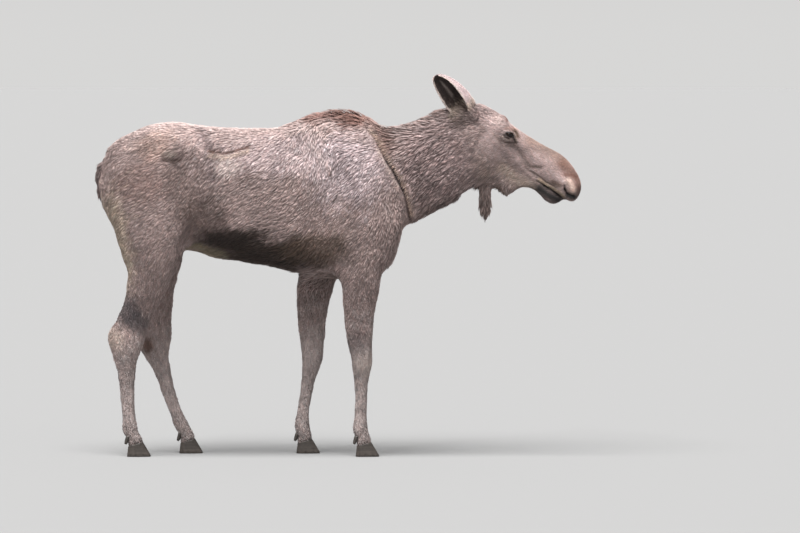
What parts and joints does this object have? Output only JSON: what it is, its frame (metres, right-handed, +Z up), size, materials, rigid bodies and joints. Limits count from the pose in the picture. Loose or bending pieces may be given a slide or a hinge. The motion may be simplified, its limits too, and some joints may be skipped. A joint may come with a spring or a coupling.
{
  "type": "moose cow standing",
  "caption": "Life-size standing moose cow: humped shoulders, long drooping muzzle, bell under the throat, long legs on split hooves.",
  "frame": {"origin": "middle of the animal's box, at the level of its soles", "axes": "+X towards the nose, +Y to the animal's left, +Z up"},
  "size_m": [2.4778, 0.5386, 1.9337],
  "materials": {
    "body_coat": "coarse short hair, matt, grey-brown with pale tips",
    "long_coat": "longer hair of mane, bell and tail, matt, darker brown",
    "face_coat": "very short hair, matt, grey-brown with a brown nose",
    "leg_coat": "very short hair, matt, pale mauve-grey",
    "hoof": "dark horn, satin",
    "eye": "wet, very dark brown"
  },
  "bodies": {
    "root": {"trunk": "body_coat", "neck": "long_coat", "head": "face_coat", "muzzle": "face_coat", "lower_jaw": "face_coat", "eye_right": "eye", "eye_left": "eye", "ear_right": "face_coat", "ear_left": "face_coat", "bell": "long_coat", "tail": "long_coat", "foreleg_right_forearm": "body_coat", "foreleg_right_shank": "leg_coat", "foreleg_right_pastern": "leg_coat", "foreleg_right_hoof_inner": "hoof", "foreleg_right_hoof_outer": "hoof", "foreleg_right_dewclaw_inner": "hoof", "foreleg_right_dewclaw_outer": "hoof", "foreleg_left_forearm": "body_coat", "foreleg_left_shank": "leg_coat", "foreleg_left_pastern": "leg_coat", "foreleg_left_hoof_inner": "hoof", "foreleg_left_hoof_outer": "hoof", "foreleg_left_dewclaw_inner": "hoof", "foreleg_left_dewclaw_outer": "hoof", "hindleg_right_thigh": "body_coat", "hindleg_right_gaskin": "body_coat", "hindleg_right_shank": "leg_coat", "hindleg_right_pastern": "leg_coat", "hindleg_right_hoof_inner": "hoof", "hindleg_right_hoof_outer": "hoof", "hindleg_right_dewclaw_inner": "hoof", "hindleg_right_dewclaw_outer": "hoof", "hindleg_left_thigh": "body_coat", "hindleg_left_gaskin": "body_coat", "hindleg_left_shank": "leg_coat", "hindleg_left_pastern": "leg_coat", "hindleg_left_hoof_inner": "hoof", "hindleg_left_hoof_outer": "hoof", "hindleg_left_dewclaw_inner": "hoof", "hindleg_left_dewclaw_outer": "hoof"}
  },
  "joints": []
}
